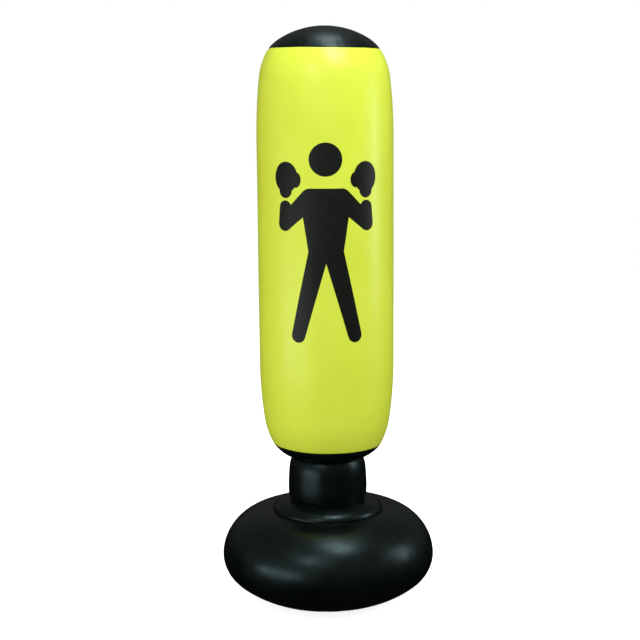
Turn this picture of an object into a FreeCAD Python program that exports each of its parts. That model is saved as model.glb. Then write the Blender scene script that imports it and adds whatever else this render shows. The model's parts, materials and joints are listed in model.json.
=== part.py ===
import FreeCAD, Part
import math
import os

import Sketcher

# An inflated, water-weighted free standing punching bag. Millimetres, +Z up.
# The origin is the middle of the flat foot that rests on the floor, and the printed front faces -Y.
# Films are welded edge to edge, so neighbouring panels share the circle of their seam.

Vector = FreeCAD.Vector

SIZES = {
    # films and welds
    "film_thickness": 0.8,
    "weld_width": 8.0,
    "weld_thickness": 1.6,
    "weld_inset": 1.4,
    "neck_weld_inset": 6.0,
    "joint_gap": 0.3,
    # bag: a tall tube with rounded shoulders
    "total_height": 1596.0,
    "bag_radius": 186.0,
    "top_seam_height": 1535.0,
    "top_seam_radius": 150.0,
    "top_crown_radius": 230.0,
    "top_edge_radius": 120.0,
    "upper_wall_end": 1293.0,
    "upper_wall_sweep": 1537.0,
    "upper_shoulder_radius": 183.0,
    "lower_wall_end": 682.0,
    "lower_wall_sweep": 1180.0,
    "lower_shoulder_radius": 220.0,
    "bottom_seam_height": 450.0,
    "bottom_seam_radius": 152.0,
    "bottom_bulge_radius": 94.0,
    "back_seam_width_angle": 4.0,
    "back_seam_thickness": 0.6,
    "back_seam_turn": 62.0,
    # neck and collar
    "neck_top_height": 413.0,
    "neck_top_radius": 96.0,
    "neck_bulge_radius": 285.0,
    "neck_foot_height": 286.0,
    "neck_foot_radius": 104.0,
    "collar_bulge_radius": 56.0,
    "crease_height": 250.0,
    "crease_radius": 146.0,
    # base: a squashed ring over a flat foot
    "base_radius": 297.5,
    "base_middle_height": 130.0,
    "base_top_height": 263.0,
    "base_top_radius": 159.5,
    "base_upper_side_radius": 88.0,
    "base_lower_side_radius": 89.0,
    "foot_radius": 95.0,
    "water_level": 85.0,
    "water_gap": 1.1,
    # air valve on the back of the bag
    "air_valve_height": 720.0,
    "air_flange_radius": 17.0,
    "flange_thickness": 1.0,
    "stem_radius": 7.0,
    "stem_bore_radius": 4.5,
    "stem_clearance": 0.3,
    "stem_depth": 18.0,
    "stem_rim_radius": 9.0,
    "stem_rim_base": 1.3,
    "stem_rim_top": 2.9,
    "flap_radius": 6.5,
    "flap_thickness": 0.6,
    "plug_head_radius": 8.5,
    "plug_head_thickness": 1.6,
    "plug_gap": 0.1,
    "plug_mouth_radius": 4.2,
    "plug_tip_radius": 2.6,
    "plug_depth": 6.0,
    "plug_hinge_offset": 11.5,
    "plug_hinge_height": 3.7,
    "plug_barrel_radius": 0.6,
    "strap_width": 5.0,
    "strap_overlap": 0.6,
    # water filler on the back of the base
    "filler_tilt": 60.0,
    "filler_flange_radius": 32.0,
    "filler_neck_radius": 15.0,
    "filler_bore_radius": 11.5,
    "filler_neck_depth": 8.0,
    "filler_neck_height": 14.0,
    "filler_shoulder_radius": 19.0,
    "filler_shoulder_base": 1.3,
    "filler_shoulder_top": 2.9,
    "filler_thread_radius": 15.8,
    "filler_thread_width": 1.4,
    "filler_thread_first": 5.4,
    "filler_thread_pitch": 3.0,
    "cap_radius": 20.0,
    "cap_bore_radius": 16.2,
    "cap_bottom": 4.2,
    "cap_roof": 15.4,
    "cap_top": 17.6,
    "cap_grip_margin": 0.8,
    "cap_grip_radius": 1.3,
    "cap_grip_count": 24.0,
    "knob_radius": 6.0,
    "knob_head_radius": 7.6,
    "knob_head_base": 20.4,
    "knob_head_top": 21.6,
    "gasket_inner_radius": 11.8,
    "gasket_outer_radius": 15.6,
    "gasket_base": 14.1,
    "ring_inner_radius": 6.3,
    "ring_outer_radius": 9.6,
    "ring_base": 17.9,
    "ring_top": 20.1,
    "tether_thickness": 1.2,
    "tether_base": 18.4,
    "tether_bend_radius": 4.0,
    "tether_drop": 24.2,
    "tether_foot_base": 0.9,
    "tether_foot_end": 31.0,
    "anchor_offset": 28.2,
    "anchor_hole_radius": 1.5,
    "anchor_pin_radius": 1.4,
    "anchor_pin_sink": 2.0,
    "anchor_head_radius": 2.3,
    "anchor_head_base": 2.4,
    "anchor_head_thickness": 1.0,
}

doc = FreeCAD.newDocument("free_standing_bag")
table = doc.addObject("Spreadsheet::Sheet", "Sizes")
for row, (alias, value) in enumerate(SIZES.items(), start=1):
    table.set("A%d" % row, alias)
    table.set("B%d" % row, str(value))
    table.setAlias("B%d" % row, alias)
doc.recompute()

# The upper and lower parts of the base ring are two arcs that meet smoothly, and these give the radius
# of the arc nearest the axis.
CROWN_RUN = "(Sizes.base_radius - Sizes.base_upper_side_radius - Sizes.base_top_radius)"
CROWN_RISE = "(Sizes.base_top_height - Sizes.base_middle_height)"
CROWN_RADIUS = (
    "((%s * %s + %s * %s - Sizes.base_upper_side_radius * Sizes.base_upper_side_radius)"
    " / (2 * (%s - Sizes.base_upper_side_radius)))"
) % (CROWN_RUN, CROWN_RUN, CROWN_RISE, CROWN_RISE, CROWN_RISE)
CROWN_HEIGHT = "(Sizes.base_top_height - %s)" % CROWN_RADIUS

# The small arc that turns the ring's top down into the crease.
LIP_RUN = "(Sizes.base_top_radius - Sizes.crease_radius)"
LIP_DROP = "(Sizes.base_top_height - Sizes.crease_height)"
LIP_RADIUS = "((%s * %s + %s * %s) / (2 * %s))" % (LIP_RUN, LIP_RUN, LIP_DROP, LIP_DROP, LIP_DROP)

exported = []


def size(alias):
    return SIZES[alias]


def body(label):
    made = doc.addObject("PartDesign::Body", label)
    made.Label = label
    exported.append(made)
    return made


def plane(owner, role):
    return next(f for f in owner.Origin.OriginFeatures if f.Role == role)


def sketch_on(owner, role, name):
    sketch = owner.newObject("Sketcher::SketchObject", name)
    sketch.AttachmentSupport = (plane(owner, role), [""])
    sketch.MapMode = "FlatFace"
    return sketch


def drive(sketch, constraint, expression):
    """Adds a constraint and, with an expression, ties its value to the table."""
    index = sketch.addConstraint(constraint)
    if expression:
        sketch.setExpression("Constraints[%d]" % index, expression)
    return index


class Outline:
    """A closed outline in a sketch, drawn counter-clockwise, one line or arc after another."""

    START, END, CENTRE = 1, 2, 3

    def __init__(self, owner, name, role="XZ_Plane"):
        self.sketch = sketch_on(owner, role, name)
        self.smooth = []

    def line(self, start, end, smooth=False):
        geometry = Part.LineSegment(Vector(start[0], start[1], 0), Vector(end[0], end[1], 0))
        self.smooth.append(smooth)
        return self.sketch.addGeometry(geometry, False)

    def arc(self, centre, start, end, smooth=False):
        first = math.atan2(start[1] - centre[1], start[0] - centre[0])
        last = math.atan2(end[1] - centre[1], end[0] - centre[0])
        radius = math.dist(centre, start)
        circle = Part.Circle(Vector(centre[0], centre[1], 0), Vector(0, 0, 1), radius)
        self.smooth.append(smooth)
        return self.sketch.addGeometry(Part.ArcOfCircle(circle, first, last), False)

    def close(self):
        """Joins each piece to the next: smoothly where asked, else at a corner."""
        count = len(self.smooth)
        for piece in range(count):
            follower = (piece + 1) % count
            kind = "Tangent" if self.smooth[piece] else "Coincident"
            self.sketch.addConstraint(
                Sketcher.Constraint(kind, piece, self.END, follower, self.START)
            )

    def level(self, piece):
        self.sketch.addConstraint(Sketcher.Constraint("Horizontal", piece))

    def upright(self, piece):
        self.sketch.addConstraint(Sketcher.Constraint("Vertical", piece))

    def on_axis(self, piece, point):
        self.sketch.addConstraint(Sketcher.Constraint("PointOnObject", piece, point, -2))

    def across(self, piece, point, value, expression):
        drive(self.sketch, Sketcher.Constraint("DistanceX", -1, 1, piece, point, value), expression)

    def up(self, piece, point, value, expression):
        drive(self.sketch, Sketcher.Constraint("DistanceY", -1, 1, piece, point, value), expression)

    def radius(self, piece, value, expression):
        drive(self.sketch, Sketcher.Constraint("Radius", piece, value), expression)


def value_of(expression):
    """The number that a sum of table names and plain numbers stands for."""
    total, sign = 0.0, 1.0
    for word in expression.split():
        if word in ("+", "-"):
            sign = 1.0 if word == "+" else -1.0
        elif word.startswith("Sizes."):
            total += sign * size(word[len("Sizes."):])
        else:
            total += sign * float(word)
    return total


def half_section(owner, name, corners):
    """A cornered outline whose corners are pairs of expressions: distance from the axis, and height."""
    numbers = [(value_of(across), value_of(rise)) for across, rise in corners]
    drawn = Outline(owner, name)
    count = len(corners)
    for index in range(count):
        drawn.line(numbers[index], numbers[(index + 1) % count])
    drawn.close()
    for index, (across, rise) in enumerate(corners):
        if across == "0":
            drawn.on_axis(index, drawn.START)
        else:
            drawn.across(index, drawn.START, numbers[index][0], across)
        if rise == "0":
            level = Sketcher.Constraint("PointOnObject", index, drawn.START, -1)
            drawn.sketch.addConstraint(level)
        else:
            drawn.up(index, drawn.START, numbers[index][1], rise)
    return drawn.sketch


def revolve(owner, sketch, name, kind="PartDesign::Revolution"):
    feature = owner.newObject(kind, name)
    feature.Profile = sketch
    feature.ReferenceAxis = (sketch, ["V_Axis"])
    feature.Angle = 360.0
    doc.recompute()
    return feature


def hollow(owner, solid, name, open_ends):
    """Leaves a film along the curved faces and opens the flat ends at the given heights."""
    ends = []
    for index, face in enumerate(solid.Shape.Faces, start=1):
        flat = isinstance(face.Surface, Part.Plane)
        if flat and any(abs(face.CenterOfMass.z - z) < 0.01 for z in open_ends):
            ends.append("Face%d" % index)
    shell = owner.newObject("PartDesign::Thickness", name)
    shell.Base = (solid, ends)
    shell.setExpression("Value", "Sizes.film_thickness")
    shell.Value = size("film_thickness")
    shell.Mode = 0
    shell.Join = 0
    shell.Reversed = True
    doc.recompute()
    owner.Tip = shell
    return shell


def inner_tangent(big_centre, big_radius, small_radius, point, lower):
    """The centre of a small circle that touches a big one from inside and passes through a point."""
    across = point[0] - big_centre[0]
    rise = point[1] - big_centre[1]
    reach = math.hypot(across, rise)
    gap = big_radius - small_radius
    along = (gap * gap - small_radius * small_radius + reach * reach) / (2 * reach)
    aside = math.sqrt(max(gap * gap - along * along, 0.0))
    ux, uy = across / reach, rise / reach
    side = -1.0 if lower else 1.0
    return (
        big_centre[0] + ux * along - side * uy * aside,
        big_centre[1] + uy * along + side * ux * aside,
    )


def touch_point(big_centre, small_centre, small_radius):
    """Where the small circle meets the big one, on the far side from the big centre."""
    dx = small_centre[0] - big_centre[0]
    dy = small_centre[1] - big_centre[1]
    length = math.hypot(dx, dy)
    return (small_centre[0] + dx / length * small_radius, small_centre[1] + dy / length * small_radius)


def column_outline(owner, name, sign="", alias=""):
    """The bag's side, closed along the axis, and grown (+) or shrunk (-) by one of the sizes."""
    more = " %s Sizes.%s" % (sign, alias) if alias else ""
    grow = value_of("0" + more)
    wall = size("bag_radius") + grow
    low, high = size("bottom_seam_height"), size("top_seam_height")
    low_seam = (size("bottom_seam_radius") + grow, low)
    high_seam = (size("top_seam_radius") + grow, high)
    low_sweep, high_sweep = size("lower_wall_sweep") + grow, size("upper_wall_sweep") + grow
    low_turn, high_turn = size("lower_shoulder_radius") + grow, size("upper_shoulder_radius") + grow
    low_end, high_end = size("lower_wall_end"), size("upper_wall_end")
    low_big = (wall - low_sweep, low_end)
    high_big = (wall - high_sweep, high_end)
    low_small = inner_tangent(low_big, low_sweep, low_turn, low_seam, False)
    high_small = inner_tangent(high_big, high_sweep, high_turn, high_seam, True)
    low_meet = touch_point(low_big, low_small, low_turn)
    high_meet = touch_point(high_big, high_small, high_turn)

    drawn = Outline(owner, name)
    floor = drawn.line((0, low), low_seam)
    low_arc = drawn.arc(low_small, low_seam, low_meet, smooth=True)
    low_long = drawn.arc(low_big, low_meet, (wall, low_end), smooth=True)
    side = drawn.line((wall, low_end), (wall, high_end), smooth=True)
    high_long = drawn.arc(high_big, (wall, high_end), high_meet, smooth=True)
    high_arc = drawn.arc(high_small, high_meet, high_seam)
    roof = drawn.line(high_seam, (0, high))
    drawn.line((0, high), (0, low))
    drawn.close()
    drawn.level(floor)
    drawn.level(roof)
    drawn.upright(side)
    drawn.on_axis(floor, drawn.START)
    drawn.on_axis(roof, drawn.END)
    drawn.across(floor, drawn.END, low_seam[0], "Sizes.bottom_seam_radius" + more)
    drawn.up(floor, drawn.END, low, "Sizes.bottom_seam_height")
    drawn.across(roof, drawn.START, high_seam[0], "Sizes.top_seam_radius" + more)
    drawn.up(roof, drawn.START, high, "Sizes.top_seam_height")
    drawn.across(side, drawn.START, wall, "Sizes.bag_radius" + more)
    drawn.up(side, drawn.START, low_end, "Sizes.lower_wall_end")
    drawn.up(side, drawn.END, high_end, "Sizes.upper_wall_end")
    drawn.radius(low_arc, low_turn, "Sizes.lower_shoulder_radius" + more)
    drawn.radius(low_long, low_sweep, "Sizes.lower_wall_sweep" + more)
    drawn.radius(high_long, high_sweep, "Sizes.upper_wall_sweep" + more)
    drawn.radius(high_arc, high_turn, "Sizes.upper_shoulder_radius" + more)
    return drawn.sketch


def bag_sleeve():
    """The coloured tube of the bag, open at both seams and pierced by the air valve."""
    owner = body("bag_sleeve")
    revolve(owner, column_outline(owner, "sleeve_outline"), "sleeve_solid")
    inside = column_outline(owner, "sleeve_inside_outline", "-", "film_thickness")
    revolve(owner, inside, "sleeve_inside", "PartDesign::Groove")
    hole = sketch_on(owner, "XZ_Plane", "valve_hole_outline")
    radius = size("stem_radius") + size("stem_clearance")
    circle = Part.Circle(Vector(0, size("air_valve_height"), 0), Vector(0, 0, 1), radius)
    hole.addGeometry(circle, False)
    hole.addConstraint(Sketcher.Constraint("PointOnObject", 0, 3, -2))
    drive(
        hole,
        Sketcher.Constraint("DistanceY", -1, 1, 0, 3, size("air_valve_height")),
        "Sizes.air_valve_height",
    )
    drive(
        hole, Sketcher.Constraint("Radius", 0, radius), "Sizes.stem_radius + Sizes.stem_clearance"
    )
    cut = owner.newObject("PartDesign::Pocket", "valve_hole")
    cut.Profile = hole
    cut.setExpression("Length", "Sizes.bag_radius + 20")
    doc.recompute()
    owner.Tip = cut


def bag_back_seam():
    """The strip where the tube's two edges lap and are welded, straight down the back."""
    owner = body("bag_back_seam")
    raised = column_outline(owner, "seam_outline", "+", "back_seam_thickness")
    strip = revolve(owner, raised, "seam_solid")
    strip.Midplane = True
    strip.setExpression("Angle", "Sizes.back_seam_width_angle")
    doc.recompute()
    under = revolve(owner, column_outline(owner, "under_outline"), "seam_under", "PartDesign::Groove")
    owner.Tip = under
    turn = FreeCAD.Rotation(Vector(0, 0, 1), size("back_seam_turn"))
    owner.Placement = FreeCAD.Placement(Vector(0, 0, 0), turn)
    owner.setExpression("Placement.Rotation.Angle", "Sizes.back_seam_turn")


def lid_outline(owner, name, inset):
    """The lid's section: a wide crown with a rounder edge down to the seam."""
    film = size("film_thickness") * inset
    edge_less = 1.2  # the film is cut at a slant there, so its edge is wider than the film is thick
    low, top = size("top_seam_height"), size("total_height") - film
    seam = (size("top_seam_radius") - edge_less * film, low)
    crown, edge = size("top_crown_radius") - film, size("top_edge_radius") - film
    crown_centre = (0.0, top - crown)
    edge_centre = inner_tangent(crown_centre, crown, edge, seam, False)
    meet = touch_point(crown_centre, edge_centre, edge)
    less = " - Sizes.film_thickness" if inset else ""
    seam_less = " - %g * Sizes.film_thickness" % edge_less if inset else ""
    drawn = Outline(owner, name)
    floor = drawn.line((0, low), seam)
    edge_arc = drawn.arc(edge_centre, seam, meet, smooth=True)
    crown_arc = drawn.arc(crown_centre, meet, (0, top))
    drawn.line((0, top), (0, low))
    drawn.close()
    drawn.level(floor)
    drawn.on_axis(floor, drawn.START)
    drawn.on_axis(crown_arc, drawn.END)
    drawn.on_axis(crown_arc, drawn.CENTRE)
    drawn.across(floor, drawn.END, seam[0], "Sizes.top_seam_radius" + seam_less)
    drawn.up(floor, drawn.END, low, "Sizes.top_seam_height")
    drawn.up(crown_arc, drawn.END, top, "Sizes.total_height" + less)
    drawn.radius(crown_arc, crown, "Sizes.top_crown_radius" + less)
    drawn.radius(edge_arc, edge, "Sizes.top_edge_radius" + less)
    return drawn.sketch


def bag_top_panel():
    """The domed lid, hollowed from below."""
    owner = body("bag_top_panel")
    revolve(owner, lid_outline(owner, "lid_outline", 0), "lid_solid")
    inside = lid_outline(owner, "lid_inside_outline", 1)
    owner.Tip = revolve(owner, inside, "lid_inside", "PartDesign::Groove")


def ring_panel(label, low, high, bulge, raise_low=0.0, drop_high=0.0):
    """A ring of film between two seams, each given as (radius alias, height alias), bulging outwards."""
    owner = body(label)
    r_low, z_low = size(low[0]), size(low[1]) + raise_low
    r_high, z_high = size(high[0]), size(high[1]) - drop_high
    radius = size(bulge)
    half = math.hypot(r_high - r_low, z_high - z_low) / 2
    back = math.sqrt(radius * radius - half * half)
    centre = (
        (r_low + r_high) / 2 - back * (z_high - z_low) / (2 * half),
        (z_low + z_high) / 2 + back * (r_high - r_low) / (2 * half),
    )
    drawn = Outline(owner, label + "_outline")
    floor = drawn.line((0, z_low), (r_low, z_low))
    side = drawn.arc(centre, (r_low, z_low), (r_high, z_high))
    roof = drawn.line((r_high, z_high), (0, z_high))
    drawn.line((0, z_high), (0, z_low))
    drawn.close()
    drawn.level(floor)
    drawn.level(roof)
    drawn.on_axis(floor, drawn.START)
    drawn.on_axis(roof, drawn.END)
    low_gap = " + Sizes.joint_gap" if raise_low else ""
    high_gap = " - Sizes.joint_gap" if drop_high else ""
    drawn.across(floor, drawn.END, r_low, "Sizes." + low[0])
    drawn.up(floor, drawn.END, z_low, "Sizes." + low[1] + low_gap)
    drawn.across(roof, drawn.START, r_high, "Sizes." + high[0])
    drawn.up(roof, drawn.START, z_high, "Sizes." + high[1] + high_gap)
    drawn.radius(side, radius, "Sizes." + bulge)
    hollow(owner, revolve(owner, drawn.sketch, label + "_solid"), label + "_film", (z_low, z_high))


def weld_ring(label, outer, low):
    """The two film edges welded together inside a seam, as a flat ring turned inwards."""
    owner = body(label)
    inner = outer + " - Sizes.weld_width"
    high = low + " + Sizes.weld_thickness"
    corners = ((inner, low), (outer, low), (outer, high), (inner, high))
    owner.Tip = revolve(owner, half_section(owner, label + "_outline", corners), label + "_ring")


def seam_weld(label, seam, inset, below):
    """A weld ring just inside a seam, under its height or above it."""
    outer = "Sizes.%s_radius - Sizes.%s" % (seam, inset)
    low = "Sizes.%s_height" % seam + (" - Sizes.weld_thickness" if below else "")
    weld_ring(label, outer, low)


def base_crown():
    """The radius and centre of the base ring's upper arc nearest the axis."""
    run = size("base_radius") - size("base_upper_side_radius") - size("base_top_radius")
    rise = size("base_top_height") - size("base_middle_height")
    side = size("base_upper_side_radius")
    radius = (run * run + rise * rise - side * side) / (2 * (rise - side))
    return radius, (size("base_top_radius"), size("base_top_height") - radius)


def base_top_outline(owner, name, inset):
    """The base's upper section: from the middle seam over the ring's top and down to the crease."""
    film = size("film_thickness") * inset
    less = " - Sizes.film_thickness" if inset else ""
    middle, crease = size("base_middle_height"), size("crease_height")
    top = (size("base_top_radius"), size("base_top_height") - film)
    outer = (size("base_radius") - film, middle)
    side = size("base_upper_side_radius") - film
    side_centre = (outer[0] - side, middle)
    crown_centre = base_crown()[1]
    meet = touch_point(crown_centre, side_centre, side)
    run, drop = top[0] - size("crease_radius"), size("base_top_height") - crease
    lip_radius = (run * run + drop * drop) / (2 * drop) - film
    lip_centre = (top[0], top[1] - lip_radius)
    lip = (top[0] - math.sqrt(lip_radius ** 2 - (crease - lip_centre[1]) ** 2), crease)
    drawn = Outline(owner, name)
    floor = drawn.line((0, middle), outer)
    side_arc = drawn.arc(side_centre, outer, meet, smooth=True)
    crown_arc = drawn.arc(crown_centre, meet, top, smooth=True)
    lip_arc = drawn.arc(lip_centre, top, lip)
    roof = drawn.line(lip, (0, crease))
    drawn.line((0, crease), (0, middle))
    drawn.close()
    drawn.level(floor)
    drawn.level(roof)
    drawn.on_axis(floor, drawn.START)
    drawn.on_axis(roof, drawn.END)
    drawn.across(floor, drawn.END, outer[0], "Sizes.base_radius" + less)
    drawn.up(floor, drawn.END, middle, "Sizes.base_middle_height")
    drawn.up(side_arc, drawn.CENTRE, middle, "Sizes.base_middle_height")
    drawn.radius(side_arc, side, "Sizes.base_upper_side_radius" + less)
    drawn.across(crown_arc, drawn.CENTRE, top[0], "Sizes.base_top_radius")
    drawn.across(lip_arc, drawn.START, top[0], "Sizes.base_top_radius")
    drawn.up(lip_arc, drawn.START, top[1], "Sizes.base_top_height" + less)
    drawn.radius(lip_arc, lip_radius, LIP_RADIUS + less)
    drawn.up(roof, drawn.START, crease, "Sizes.crease_height")
    return drawn.sketch


def base_top_panel():
    """The upper half of the base, pierced for the water filler."""
    owner = body("base_top_panel")
    revolve(owner, base_top_outline(owner, "base_top_outline", 0), "base_top_solid")
    inside = base_top_outline(owner, "base_top_inside_outline", 1)
    revolve(owner, inside, "base_top_inside", "PartDesign::Groove")

    hole = sketch_on(owner, "XY_Plane", "filler_hole_outline")
    hole.AttachmentOffset = filler_frame()
    tie_filler_frame(hole, "AttachmentOffset")
    radius = size("filler_neck_radius")
    hole.addGeometry(Part.Circle(Vector(0, 0, 0), Vector(0, 0, 1), radius), False)
    hole.addConstraint(Sketcher.Constraint("Coincident", 0, 3, -1, 1))
    drive(hole, Sketcher.Constraint("Radius", 0, radius), "Sizes.filler_neck_radius")
    cut = owner.newObject("PartDesign::Pocket", "filler_hole")
    cut.Profile = hole
    cut.SideType = "Symmetric"
    cut.setExpression("Length", "2 * Sizes.filler_neck_depth")
    doc.recompute()
    owner.Tip = cut


def floor_outline(owner, name, inset, inset_alias, top, top_alias):
    """The base's underside: a flat foot, a long arc and the side arc, up to a given height."""
    less = " - Sizes.%s" % inset_alias if inset_alias else ""
    lift = "Sizes.%s" % inset_alias if inset_alias else "0"
    foot = (size("foot_radius"), inset)
    side = size("base_lower_side_radius") - inset
    side_centre = (size("base_radius") - size("base_lower_side_radius"), size("base_middle_height"))
    spread = side_centre[0] - foot[0]
    rise = side_centre[1] - inset
    long_arc_radius = (spread * spread + rise * rise - side * side) / (2 * (rise - side))
    long_centre = (foot[0], inset + long_arc_radius)
    meet = touch_point(long_centre, side_centre, side)
    edge = (side_centre[0] + math.sqrt(side * side - (side_centre[1] - top) ** 2), top)
    drawn = Outline(owner, name)
    foot_line = drawn.line((0, inset), foot, smooth=True)
    long_arc = drawn.arc(long_centre, foot, meet, smooth=True)
    side_arc = drawn.arc(side_centre, meet, edge)
    roof = drawn.line(edge, (0, top))
    drawn.line((0, top), (0, inset))
    drawn.close()
    drawn.level(foot_line)
    drawn.level(roof)
    drawn.on_axis(foot_line, drawn.START)
    drawn.on_axis(roof, drawn.END)
    drawn.across(long_arc, drawn.START, foot[0], "Sizes.foot_radius")
    if inset:
        drawn.up(foot_line, drawn.START, inset, lift)
    else:
        drawn.sketch.addConstraint(Sketcher.Constraint("PointOnObject", foot_line, 1, -1))
    drawn.across(
        side_arc,
        drawn.CENTRE,
        side_centre[0],
        "Sizes.base_radius - Sizes.base_lower_side_radius",
    )
    drawn.up(side_arc, drawn.CENTRE, side_centre[1], "Sizes.base_middle_height")
    drawn.radius(side_arc, side, "Sizes.base_lower_side_radius" + less)
    drawn.up(roof, drawn.END, top, "Sizes." + top_alias)
    return drawn.sketch


def base_floor_panel():
    """The lower half of the base, with the flat foot that carries the weight."""
    owner = body("base_floor_panel")
    middle = size("base_middle_height")
    outline = floor_outline(owner, "base_floor_outline", 0.0, "", middle, "base_middle_height")
    hollow(owner, revolve(owner, outline, "base_floor_solid"), "base_floor_film", (middle,))


def ballast_water():
    """The water that keeps the bag upright, lying in the bottom of the base."""
    owner = body("ballast_water")
    outline = floor_outline(
        owner, "water_outline", size("water_gap"), "water_gap", size("water_level"), "water_level"
    )
    owner.Tip = revolve(owner, outline, "water_solid")


def base_diaphragm():
    """The disc of film at the crease that parts the base's chamber from the bag's."""
    disc = doc.addObject("Part::Cylinder", "base_diaphragm")
    disc.Label = "base_diaphragm"
    disc.setExpression("Radius", "Sizes.crease_radius + Sizes.film_thickness")
    disc.setExpression("Height", "Sizes.film_thickness")
    disc.setExpression("Placement.Base.z", "Sizes.crease_height - Sizes.film_thickness")
    exported.append(disc)


def air_frame():
    """The air valve's frame: its Z points out of the bag's back, its Y points down."""
    turn = FreeCAD.Rotation(Vector(1, 0, 0), -90)
    return FreeCAD.Placement(Vector(0, size("bag_radius"), size("air_valve_height")), turn)


def place_air_part(item):
    item.Placement = air_frame()
    item.setExpression("Placement.Base.y", "Sizes.bag_radius")
    item.setExpression("Placement.Base.z", "Sizes.air_valve_height")


def filler_frame():
    """The filler's frame: its Z stands square on the base's back shoulder."""
    crown, centre = base_crown()
    tilt = math.radians(size("filler_tilt"))
    spot = Vector(0, centre[0] + crown * math.cos(tilt), centre[1] + crown * math.sin(tilt))
    turn = FreeCAD.Rotation(Vector(-1, 0, 0), 90 - size("filler_tilt"))
    return FreeCAD.Placement(spot, turn)


def tie_filler_frame(item, prop, rise="0"):
    """Keeps an item in the filler's frame, raised along the frame's Z."""
    out = "(%s + %s)" % (CROWN_RADIUS, rise)
    item.setExpression(
        prop + ".Base.y", "Sizes.base_top_radius + %s * cos(Sizes.filler_tilt)" % out
    )
    item.setExpression(prop + ".Base.z", "%s + %s * sin(Sizes.filler_tilt)" % (CROWN_HEIGHT, out))
    item.setExpression(prop + ".Rotation.Angle", "90 - Sizes.filler_tilt")


def place_filler_part(item):
    item.Placement = filler_frame()
    tie_filler_frame(item, "Placement")


def cylinder(name, radius, height, low="0"):
    """An upright cylinder on the bag's axis."""
    made = doc.addObject("Part::Cylinder", name)
    made.setExpression("Radius", radius)
    made.setExpression("Height", height)
    made.setExpression("Placement.Base.z", low)
    return made


def boolean(kind, name, base, tool):
    made = doc.addObject("Part::" + kind, name)
    made.Base = base
    made.Tool = tool
    return made


def label_last(item, label):
    item.Label = label
    exported.append(item)


def air_valve_flange():
    """The thin disc welded round the air valve, curved to lie on the tube."""
    disc = cylinder("air_flange_disc", "Sizes.air_flange_radius", "Sizes.stem_depth")
    bore = cylinder(
        "air_flange_bore", "Sizes.stem_radius + Sizes.stem_clearance", "Sizes.stem_depth"
    )
    for tool in (disc, bore):
        tool.Placement = air_frame()
        tool.setExpression("Placement.Base.y", "Sizes.bag_radius - Sizes.stem_depth / 2")
        tool.setExpression("Placement.Base.z", "Sizes.air_valve_height")
    span = "4 * Sizes.air_flange_radius"
    low = "Sizes.air_valve_height - 2 * Sizes.air_flange_radius"
    outside = cylinder(
        "air_flange_outside", "Sizes.bag_radius + Sizes.flange_thickness", span, low
    )
    inside = cylinder("air_flange_inside", "Sizes.bag_radius", span, low)
    wall = boolean("Cut", "air_flange_wall", outside, inside)
    patch = boolean("Common", "air_flange_patch", wall, disc)
    label_last(boolean("Cut", "air_valve_flange", patch, bore), "air_valve_flange")


def ring_surface(name, extra):
    """The base ring's upper arc turned round the axis, as a whole torus."""
    made = doc.addObject("Part::Torus", name)
    made.setExpression("Radius1", "Sizes.base_top_radius")
    made.setExpression("Radius2", CROWN_RADIUS + extra)
    made.setExpression("Placement.Base.z", CROWN_HEIGHT)
    return made


def filler_cylinder(name, radius, height, rise):
    """A cylinder standing in the filler's frame."""
    made = cylinder(name, radius, height)
    made.Placement = filler_frame()
    tie_filler_frame(made, "Placement", rise)
    return made


def filler_flange():
    """The disc welded round the water filler, curved both ways to lie on the base."""
    height = "Sizes.filler_flange_radius"
    sink = "-0.5 * Sizes.filler_flange_radius"
    disc = filler_cylinder("filler_flange_disc", "Sizes.filler_flange_radius", height, sink)
    bore = filler_cylinder("filler_flange_bore", "Sizes.filler_neck_radius", height, sink)
    outside = ring_surface("filler_flange_outside", " + Sizes.flange_thickness")
    inside = ring_surface("filler_flange_inside", "")
    wall = boolean("Cut", "filler_flange_wall", outside, inside)
    patch = boolean("Common", "filler_flange_patch", wall, disc)
    label_last(boolean("Cut", "filler_flange", patch, bore), "filler_flange")


def turned(label, corners, place=None):
    """A turned piece, standing in a valve's frame."""
    owner = body(label)
    owner.Tip = revolve(owner, half_section(owner, label + "_outline", corners), label + "_solid")
    if place:
        place(owner)
    return owner


def round_hole(owner, name, radius_alias, offset_alias, depth):
    """Cuts a round hole upwards from the piece's own ground plane, on its axis or aside along X."""
    hole = sketch_on(owner, "XY_Plane", name + "_outline")
    offset = size(offset_alias) if offset_alias else 0.0
    radius = size(radius_alias)
    hole.addGeometry(Part.Circle(Vector(offset, 0, 0), Vector(0, 0, 1), radius), False)
    if offset_alias:
        hole.addConstraint(Sketcher.Constraint("PointOnObject", 0, 3, -1))
        away = Sketcher.Constraint("DistanceX", -1, 1, 0, 3, offset)
        drive(hole, away, "Sizes." + offset_alias)
    else:
        hole.addConstraint(Sketcher.Constraint("Coincident", 0, 3, -1, 1))
    drive(hole, Sketcher.Constraint("Radius", 0, radius), "Sizes." + radius_alias)
    cut = owner.newObject("PartDesign::Pocket", name)
    cut.Profile = hole
    cut.Reversed = True
    cut.setExpression("Length", depth)
    doc.recompute()
    owner.Tip = cut


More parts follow.
